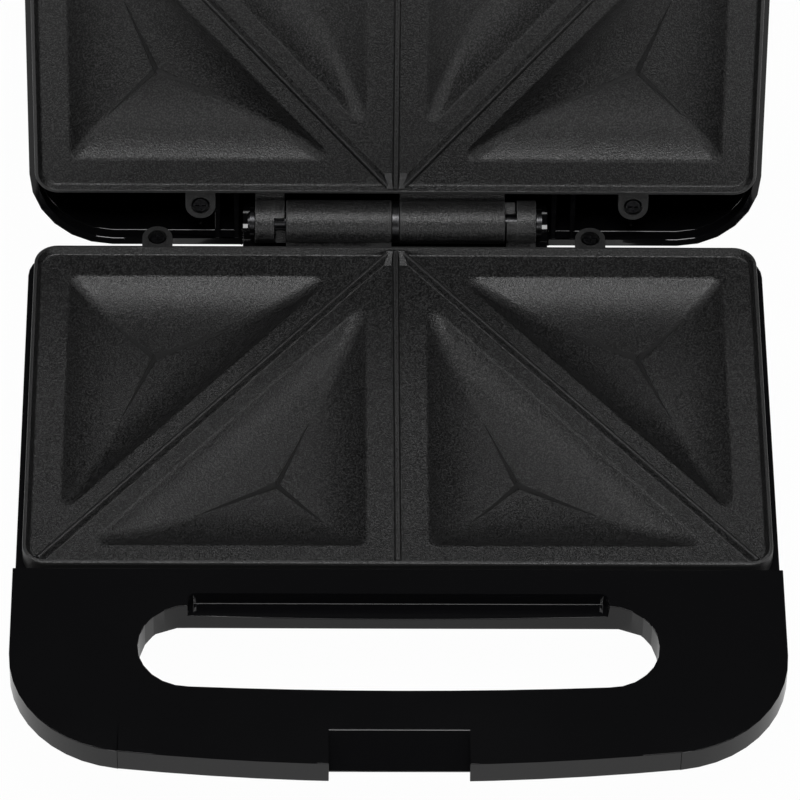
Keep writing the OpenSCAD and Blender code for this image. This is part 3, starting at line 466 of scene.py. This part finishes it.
plateValues = {  # mm and degrees; heights count from the plane where the plates meet
    # the ledge rests on the shell, skirt is its width, and webs and ears start this far into it
    "width": 219.0, "depth": 126.0, "corner": 7.0, "cornerSteps": 10, "skirt": 5.0,
    "ledge": -6.2, "land": -2.3, "wall": 2.5, "into": 1.0, "sharp": 32.0,
    "rimSteps": [(0.0, 5.0), (0.01, 0.5), (0.11, 0.32), (0.38, 0.18), (0.5, 0.0), (0.1, -0.1),
                 (0.1, -0.2), (0.65, -1.25), (0.15, -0.25), (0.2, -0.2), (0.4, -0.1)],
    # pockets: their mouths' distances from the rim, the middle and the diagonal ridge
    "pocketEdge": 10.8, "frontNearer": 2.0, "pocketMid": 9.2, "pocketDiagonal": 7.0,
    "pocketCorner": 3.0, "mouthSteps": 8, "backSteps": 3,
    "pocketShares": (0.38, 0.326, 0.294), "pocketDeep": 6.4, "pocketCurve": 3.5,
    "lip": 0.025, "lipFit": 0.97,
    "skinRows": [-0.025, -0.0125, 0.0, 0.0125, 0.025, 0.05, 0.08, 0.11, 0.15, 0.19, 0.23,
                 0.28, 0.33, 0.39, 0.45, 0.52, 0.6, 0.7, 0.82, 0.985],
    # stars: the share of the blade, its height over the skin and half its width there
    "starReach": (0.56, 0.43, 0.365), "starSink": 0.04,
    "starRows": [(-0.02, 2.15, 0.9), (0.06, 1.9, 0.88), (0.15, 1.6, 0.8), (0.3, 1.3, 0.66),
                 (0.5, 1.05, 0.52), (0.7, 0.78, 0.4), (0.88, 0.5, 0.27), (1.0, 0.2, 0.12)],
    # ridges: half of each section, across and above the land, and rows near both ends, which
    # keep the painted crest highlight apart from the end faces
    "ridgeStart": (2.7, 2.6), "ridgeEnd": (4.7, 2.5), "midRidgeEnd": 1.7,
    "ridgeRows": (0.01, 0.98, 0.01),
    "ridge": [(1.75, -0.1), (1.6, 0.02), (1.42, 0.1), (1.2, 0.34), (0.9, 0.78), (0.58, 1.25),
              (0.37, 1.55), (0.26, 1.66), (0.13, 1.7)],
    "midRidge": [(1.2, -0.1), (1.05, 0.02), (0.94, 0.12), (0.84, 0.45), (0.75, 1.1),
                 (0.68, 1.45), (0.58, 1.63), (0.44, 1.7), (0.2, 1.7)],
    # ramps: corners and the heights there, front left, front right, back right, back left
    "ramp": [(1.3, 56.8, -2.25), (3.5, 56.8, -2.25), (2.7, 61.3, -0.6), (0.9, 61.3, -0.6)],
    "rampSink": 0.3,
    # hinge barrels, their rounded ends, the lug and the sector that it runs in
    "hinge": stance["hingeY"], "barrel": 6.65, "pin": 2.55, "barrelGap": 1.15,
    "longBarrel": 32.2, "shortBarrel": 9.0, "barrelPlay": 0.4, "longRound": 0.45,
    "shortRound": 0.3, "roundMiddle": 0.3, "crestRow": 0.4, "squareRow": 0.3,
    "barrelSteps": 48, "sectorSteps": 32, "lugSteps": 6,
    "lug": 3.2, "lugRoot": 0.5, "lugAngles": (144, 184), "stopAngles": (-112.4, 41),
    "sectorOverlap": 0.02, "webTop": -2.8, "webRound": 0.4, "webClear": 1.2,
    # ears: where they stand, then radius, distance behind the plate and height
    "ears": (-72.5, 59.4), "ear": (4.6, 6.15, -3.2), "earSteps": 40, "earRings": (1.04, 1.03),
    "earFall": 0.14, "screwHole": 1.65, "screwHead": (2.9, 1.3), "screwSteps": 32,
}


def ridgeLine(v):
    start = Vector((v["ridgeStart"][0], v["depth"] / 2 - v["ridgeStart"][1]))
    end = Vector((v["width"] / 2 - v["ridgeEnd"][0], v["ridgeEnd"][1] - v["depth"] / 2))
    return start, end


def pocketCorners(v):  # corners of the outer and the inner pocket of the right half
    start, end = ridgeLine(v)
    along = (end - start).normalized()
    side = Vector((-along.y, along.x))

    def atY(y, off):
        p = start + side * off
        return Vector((p.x + along.x * (y - p.y) / along.y, y))

    def atX(x, off):
        p = start + side * off
        return Vector((x, p.y + along.y * (x - p.x) / along.x))

    off = v["pocketDiagonal"]
    x, y = v["width"] / 2 - v["pocketEdge"], v["depth"] / 2 - v["pocketEdge"]
    outer = [Vector((x, y)), atY(y, off), atX(x, off)]
    x, y = v["pocketMid"], v["pocketEdge"] - v["frontNearer"] - v["depth"] / 2
    inner = [Vector((x, y)), atY(y, -off), atX(x, -off)]
    return outer, inner


def pocketMiddle(v, corners):  # where the star stands, and how far that is from the diagonal
    shares = zip(corners, v["pocketShares"])
    middle = sum((corner * share for corner, share in shares), Vector((0, 0)))
    edge = corners[2] - corners[1]
    return middle, abs(edge.cross(middle - corners[1])) / edge.length


def wallDepth(v, share):  # share of the way from mouth to middle; the lip is rounded over
    steep, lip = v["pocketDeep"] * v["pocketCurve"], v["lip"]
    if share <= lip:
        return steep * (share + lip) ** 2 / (4 * lip) * v["lipFit"]
    return v["pocketDeep"] * (1 - (1 - share) ** v["pocketCurve"])


def roundedFace(bm, corners, radius, segments, z):
    verts = [bm.verts.new((p[0], p[1], z)) for p in corners]
    face = bm.faces.new(verts)
    for i, vert in enumerate(verts):
        here = Vector(corners[i][:2])
        before = Vector(corners[i - 1][:2]) - here
        after = Vector(corners[(i + 1) % len(corners)][:2]) - here
        made = bmesh.ops.bevel(bm, geom=[vert], offset=radius / math.tan(before.angle(after) / 2),
                               offset_type="OFFSET", segments=segments, profile=0.5,
                               affect="VERTICES", material=-1)
        face = made["verts"][0].link_faces[0]
    if face.calc_area() and face.normal.z < 0:
        face.normal_flip()
    return face


def ringOf(bm, corners, radius, segments, z, grow, centre):  # a closed wire round a pocket
    face = roundedFace(bm, corners, radius, segments, z)
    bmesh.ops.scale(bm, vec=(grow, grow, 1), verts=face.verts,
                    space=Matrix.Translation((-centre.x, -centre.y, 0)))
    edges = list(face.edges)
    bmesh.ops.delete(bm, geom=[face], context="FACES_ONLY")
    return edges


def nextRing(bm, edges, ratio, centre, rise):  # drawn in towards its centre, and up or down
    made = bmesh.ops.extrude_edge_only(bm, edges=edges)["geom"]
    verts = {g for g in made if isinstance(g, bmesh.types.BMVert)}
    bmesh.ops.scale(bm, vec=(ratio, ratio, 1), verts=list(verts),
                    space=Matrix.Translation((-centre.x, -centre.y, 0)))
    bmesh.ops.translate(bm, vec=(0, 0, rise), verts=list(verts))
    return [g for g in made if isinstance(g, bmesh.types.BMEdge) and set(g.verts) <= verts]


def pocketSkin(bm, v, edges, centre, grow, shares):  # wall and floor, from the mouth down
    size, depth = grow - shares[0], wallDepth(v, shares[0])
    for share in shares[1:]:
        newSize, newDepth = grow - share, wallDepth(v, share)
        edges = nextRing(bm, edges, newSize / size, centre, depth - newDepth)
        size, depth = newSize, newDepth
    bmesh.ops.contextual_create(bm, geom=edges)


def wallHeight(v, corners, centre, place):  # z of the pocket's skin at a place in plan
    share = 1.0
    for i in range(3):
        edge = corners[(i + 1) % 3] - corners[i]
        reach = edge.cross(place - corners[i]) / edge.cross(centre - corners[i])
        share = min(share, reach)
    return v["land"] - wallDepth(v, max(share, 0))


def addStar(bm, v, corners):  # three narrow blades that run up the pocket's skin
    centre = pocketMiddle(v, corners)[0]
    sink = -v["starSink"]
    for i in range(3):
        arm = (corners[i] - centre) * v["starReach"][i]
        side = Vector((-arm.y, arm.x)).normalized()
        rows = []
        for along, rise, half in v["starRows"]:
            middle = centre + arm * along
            section = ((middle + side * half, sink), (middle, rise), (middle - side * half, sink))
            rows.append([bm.verts.new((p.x, p.y, wallHeight(v, corners, centre, p) + above))
                         for p, above in section])
        for one, two in zip(rows, rows[1:]):
            bm.faces.new((one[0], one[1], two[1], two[0]))
            bm.faces.new((one[1], one[2], two[2], two[1]))
        bm.faces.new(rows[-1])


def edgesOf(verts):  # each edge once, and in the same order on every run
    return list(dict.fromkeys(e for p in verts for e in p.link_edges))


def addBar(bm, low, high, rounding):  # a block between two corners, its upper edges rounded
    before = set(bm.verts)
    made = bmesh.ops.create_cube(bm, size=1)["verts"]
    size = [high[i] - low[i] for i in range(3)]
    middle = [(high[i] + low[i]) / 2 for i in range(3)]
    bmesh.ops.scale(bm, vec=size, verts=made)
    bmesh.ops.translate(bm, vec=middle, verts=made)
    bmesh.ops.subdivide_edges(bm, edges=edgesOf(made), cuts=3, use_grid_fill=True)
    made = [p for p in bm.verts if p not in before]
    top = [e for e in edgesOf(made) if all(abs(q.co.z - high[2]) < 0.01 for q in e.verts)
           and e.calc_face_angle(0) > 1]
    bmesh.ops.bevel(bm, geom=top, offset=rounding, offset_type="OFFSET", segments=3,
                    profile=0.5, affect="EDGES", material=-1)


def addRidge(bm, v, start, end, half):
    run = end - start
    outline = [(a, z) for a, z in half] + [(-a, z) for a, z in reversed(half)]
    verts = [bm.verts.new((0, a, v["land"] + z)) for a, z in outline]
    turn = Matrix.Rotation(math.atan2(run.y, run.x), 3, "Z")
    bmesh.ops.rotate(bm, matrix=turn, verts=verts, cent=(0, 0, 0))
    bmesh.ops.translate(bm, vec=(start.x, start.y, 0), verts=verts)
    face = bm.faces.new(verts)
    for share in v["ridgeRows"]:
        made = bmesh.ops.extrude_face_region(bm, geom=[face])["geom"]
        bmesh.ops.translate(bm, vec=(run.x * share, run.y * share, 0),
                            verts=[g for g in made if isinstance(g, bmesh.types.BMVert)])
        face = [g for g in made if isinstance(g, bmesh.types.BMFace)][0]


def addRamp(bm, v, side):  # the small slope between the ridges where they run into the rim
    made = bmesh.ops.create_cube(bm, size=1)["verts"]
    low = sorted([p for p in made if p.co.z < 0], key=lambda p: math.atan2(p.co.y, p.co.x))
    for vert, (x, y, top) in zip(low, v["ramp"]):
        above = next(q for e in vert.link_edges for q in e.verts if q not in low)
        vert.co = (side * x, y, v["land"] - v["rampSink"])
        above.co = (side * x, y, top)


def spinRing(bm, profile, centre, steps, angle=2 * math.pi, start=0.0):
    # a closed profile of (along, radius) pairs turned about an axis along x
    verts = [bm.verts.new((along, radius, 0)) for along, radius in profile]
    edges = [bm.edges.new((verts[i - 1], verts[i])) for i in range(len(verts))]
    before = set(bm.verts) - set(verts)
    whole = angle == 2 * math.pi
    if not whole:
        edges += [bm.faces.new(verts)]
    bmesh.ops.rotate(bm, cent=(0, 0, 0), matrix=Matrix.Rotation(start, 3, "X"), verts=verts)
    bmesh.ops.spin(bm, geom=verts + edges, cent=(0, 0, 0), axis=(1, 0, 0), angle=angle,
                   steps=steps, use_merge=whole)
    bmesh.ops.translate(bm, vec=centre, verts=list(set(bm.verts) - before))


def barrelProfile(v, start, end, first, last):  # first and last: the rounding of its two ends
    r, p, part, row, square = (v[name] for name in ("barrel", "pin", "roundMiddle", "crestRow",
                                                    "squareRow"))
    profile = [(start, p)]
    if first:
        profile += [(start, r - first), (start + first * part, r - first * part),
                    (start + first, r), (start + first + row, r)]
    else:
        profile += [(start, r), (start + square, r)]
    if last:
        profile += [(end - last - row, r), (end - last, r),
                    (end - last * part, r - last * part), (end, r - last)]
    else:
        profile += [(end - square, r), (end, r)]
    return profile + [(end, p)]


def addBarrels(bm, v):
    centre = (0, v["hinge"], 0)
    longStart, longEnd = -v["barrelGap"] - v["longBarrel"], -v["barrelGap"]
    shortStart = v["barrelGap"] + v["longBarrel"] + v["barrelPlay"]
    shortEnd = shortStart + v["shortBarrel"]
    wide, narrow, steps = v["longRound"], v["shortRound"], v["barrelSteps"]
    spinRing(bm, barrelProfile(v, longStart, longEnd, wide, wide), centre, steps)
    spinRing(bm, barrelProfile(v, shortStart + v["lug"], shortEnd, 0, narrow), centre, steps)
    low, high = (math.radians(a) for a in v["stopAngles"])
    sectorEnd = shortStart + v["lug"] + v["sectorOverlap"]
    spinRing(bm, barrelProfile(v, shortStart, sectorEnd, narrow, 0), centre, v["sectorSteps"],
             angle=2 * math.pi - (high - low), start=high + math.pi / 2)
    low, high = (math.radians(a) for a in v["lugAngles"])
    lugEnds = (longStart - v["lug"], longStart + v["lugRoot"])
    spinRing(bm, barrelProfile(v, *lugEnds, narrow, 0), centre, v["lugSteps"],
             angle=high - low, start=low + math.pi / 2)
    webFront, webBack = v["depth"] / 2 - v["into"], v["hinge"] - v["pin"] - v["webClear"]
    for start, end in ((longStart, longEnd), (shortStart, shortEnd)):
        addBar(bm, (start, webFront, v["ledge"]), (end, webBack, v["webTop"]), v["webRound"])


def addEar(bm, v, x):
    radius, back, top = v["ear"]
    headRadius, headDeep = v["screwHead"]
    one, two = v["earRings"]
    y = v["depth"] / 2 + back
    made = bmesh.ops.create_circle(bm, segments=v["earSteps"], radius=radius / (one * two),
                                   cap_ends=False)["verts"]
    for vert in made:
        if vert.co.y < 0:  # the front half reaches straight under the rim
            vert.co.y = -back - v["into"]
    outer = edgesOf(made)
    hole = bmesh.ops.create_circle(bm, segments=v["screwSteps"], radius=headRadius,
                                   cap_ends=False)["verts"]
    inner = edgesOf(hole)
    bmesh.ops.translate(bm, vec=(x, y, top), verts=made + hole)
    bmesh.ops.triangle_fill(bm, use_beauty=True, edges=outer + inner, normal=(0, 0, 1))
    centre = Vector((x, y))
    outer = nextRing(bm, nextRing(bm, outer, one, centre, 0), two, centre, -v["earFall"])
    edges = nextRing(bm, outer, 1.0, centre, v["ledge"] - top + v["earFall"])
    wall = nextRing(bm, inner, 1.0, centre, -headDeep)
    floor = nextRing(bm, wall, v["screwHole"] / headRadius, centre, 0)
    foot = nextRing(bm, floor, 1.0, centre, v["ledge"] - top + headDeep)
    bmesh.ops.triangle_fill(bm, use_beauty=True, edges=edges + foot, normal=(0, 0, -1))


def startPlate(bm, v):  # the plate's side, rim and land; gives the open edges above and below
    w, d = v["width"] / 2, v["depth"] / 2
    corners = [(w, d), (-w, d), (-w, -d), (w, -d)]
    under = roundedFace(bm, corners, v["corner"], v["cornerSteps"], v["ledge"])
    bm.normal_update()
    raised = bmesh.ops.extrude_face_region(bm, geom=[under])["geom"]
    face = [g for g in raised if isinstance(g, bmesh.types.BMFace)][0]
    if face.normal.z < 0:
        face.normal_flip()
    bmesh.ops.translate(bm, vec=(0, 0, v["rimSteps"][0][1]), verts=list(face.verts))
    for inward, rise in v["rimSteps"][1:]:
        bmesh.ops.inset_region(bm, faces=[face], thickness=inward, depth=0, use_even_offset=True)
        bmesh.ops.translate(bm, vec=(0, 0, rise), verts=list(face.verts))
    bmesh.ops.inset_region(bm, faces=[under], thickness=v["skirt"], depth=0,
                           use_even_offset=True)
    backEdges = nextRing(bm, list(under.edges), 1.0, Vector((0, 0)),
                         v["land"] - v["wall"] - v["ledge"])
    topEdges = list(face.edges)
    bmesh.ops.delete(bm, geom=[face, under], context="FACES_ONLY")
    return topEdges, backEdges


def castPlate(name, node, place):
    v = plateValues
    bm = bmesh.new()
    outer, inner = pocketCorners(v)
    pockets = [outer, inner]
    pockets += [[Vector((-p.x, p.y)) for p in corners] for corners in (outer, inner)]
    topEdges, backEdges = startPlate(bm, v)
    rows = v["skinRows"]
    jobs = []
    for corners in pockets:
        centre, run = pocketMiddle(v, corners)
        grow = 1 + v["wall"] / run
        mouth = ringOf(bm, corners, v["pocketCorner"], v["mouthSteps"], v["land"],
                       1 - rows[0], centre)
        back = ringOf(bm, corners, v["pocketCorner"], v["backSteps"], v["land"] - v["wall"],
                      grow, centre)
        jobs.append((mouth, back, centre, grow))
        topEdges += mouth
        backEdges += back
    bmesh.ops.triangle_fill(bm, use_beauty=True, edges=topEdges)
    bmesh.ops.triangle_fill(bm, use_beauty=True, edges=backEdges)
    for mouth, back, centre, grow in jobs:
        pocketSkin(bm, v, mouth, centre, 1, rows)
        pocketSkin(bm, v, back, centre, grow, rows[2::3])
    for corners in pockets:
        addStar(bm, v, corners)
    start, end = ridgeLine(v)
    addRidge(bm, v, start, end, v["ridge"])
    addRidge(bm, v, Vector((-start.x, start.y)), Vector((-end.x, end.y)), v["ridge"])
    middleEnd = v["depth"] / 2 - v["midRidgeEnd"]
    addRidge(bm, v, Vector((0, -middleEnd)), Vector((0, middleEnd)), v["midRidge"])
    addRamp(bm, v, -1)
    addRamp(bm, v, 1)
    addBarrels(bm, v)
    for x in v["ears"]:
        addEar(bm, v, x)
    bmesh.ops.recalc_face_normals(bm, faces=bm.faces)
    bmesh.ops.transform(bm, matrix=place, verts=bm.verts)
    finishPiece(name, bm, node, v["sharp"])


castPlate("lowerCasting", "lower_plate", basePlace)
castPlate("upperCasting", "upper_plate", lidPlace)
print("cast plates made")

for node, (width, reshape) in softened.items():
    softenNode(node + "Softened", node, width, reshape)
replaced = {"lower_plate", "upper_plate"} | set(softened)
for name, holder in nodes.items():
    if name not in replaced:  # these keep their CAD shape and get a finish
        holder.data.materials.clear()
        holder.data.materials.append(finishes[slotOf[name]])
print("shells and small parts finished")
